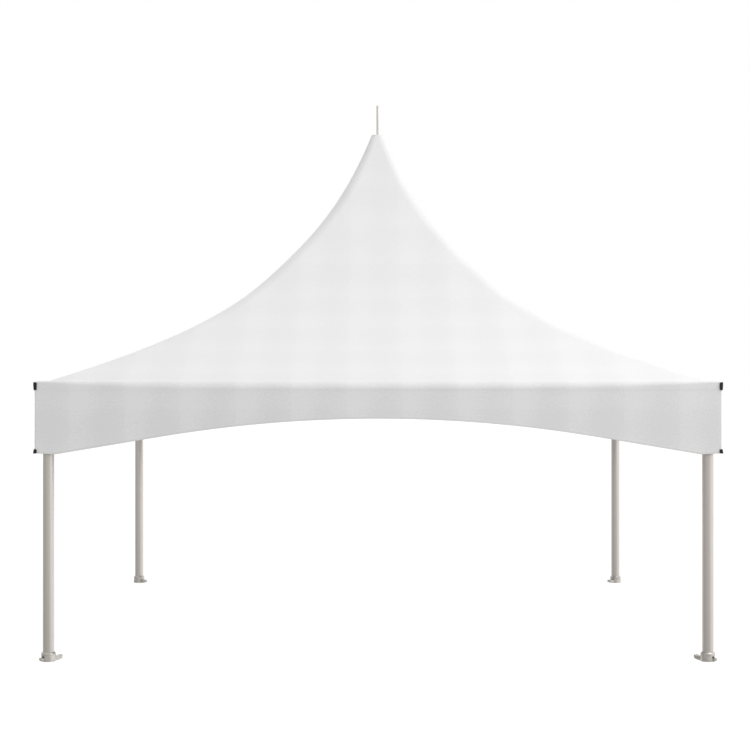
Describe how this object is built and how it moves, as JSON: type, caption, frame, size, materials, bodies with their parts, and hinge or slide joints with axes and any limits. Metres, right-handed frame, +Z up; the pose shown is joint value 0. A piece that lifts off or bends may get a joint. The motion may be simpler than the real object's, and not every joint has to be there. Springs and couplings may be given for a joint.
{
  "type": "high peak marquee tent",
  "caption": "Square marquee tent with a tall curved peak, arched valance, round legs on stake plates and a mast carried by crossing cables.",
  "frame": {"origin": "on the ground, under the mast at the centre of the four legs", "axes": "+Z up along the mast, -Y out of the front of the tent, +X to the right seen from the front"},
  "size_m": [6.1242, 6.1242, 5.426],
  "materials": {
    "white_vinyl": "white coated vinyl cloth, satin",
    "satin_aluminium": "satin anodised tube and extrusion",
    "cast_aluminium": "sand cast, tumbled",
    "steel_cable": "laid galvanised wire rope",
    "zinc_steel": "zinc plated",
    "black_webbing": "black woven webbing"
  },
  "bodies": {
    "root": {"leg_rear_right": "satin_aluminium", "leg_rear_left": "satin_aluminium", "leg_front_left": "satin_aluminium", "leg_front_right": "satin_aluminium", "base_plate_rear_right": "cast_aluminium", "base_plate_rear_left": "cast_aluminium", "base_plate_front_left": "cast_aluminium", "base_plate_front_right": "cast_aluminium", "corner_fitting_rear_right": "cast_aluminium", "corner_fitting_rear_left": "cast_aluminium", "corner_fitting_front_left": "cast_aluminium", "corner_fitting_front_right": "cast_aluminium", "eave_beam_front": "satin_aluminium", "eave_beam_right": "satin_aluminium", "eave_beam_rear": "satin_aluminium", "eave_beam_left": "satin_aluminium", "cable_rear_right": "steel_cable", "cable_rear_left": "steel_cable", "cable_front_left": "steel_cable", "cable_front_right": "steel_cable", "turnbuckle_rear_right": "zinc_steel", "turnbuckle_rear_left": "zinc_steel", "turnbuckle_front_left": "zinc_steel", "turnbuckle_front_right": "zinc_steel", "mast": "satin_aluminium", "mast_hub": "cast_aluminium", "mast_head": "cast_aluminium", "mast_cap": "white_vinyl", "spire": "satin_aluminium", "canopy_front": "white_vinyl", "canopy_right": "white_vinyl", "canopy_rear": "white_vinyl", "canopy_left": "white_vinyl", "valance_front": "white_vinyl", "valance_right": "white_vinyl", "valance_rear": "white_vinyl", "valance_left": "white_vinyl", "corner_strap_top_rear_right": "black_webbing", "corner_strap_top_rear_left": "black_webbing", "corner_strap_top_front_left": "black_webbing", "corner_strap_top_front_right": "black_webbing", "corner_strap_bottom_rear_right": "black_webbing", "corner_strap_bottom_rear_left": "black_webbing", "corner_strap_bottom_front_left": "black_webbing", "corner_strap_bottom_front_right": "black_webbing"}
  },
  "joints": []
}
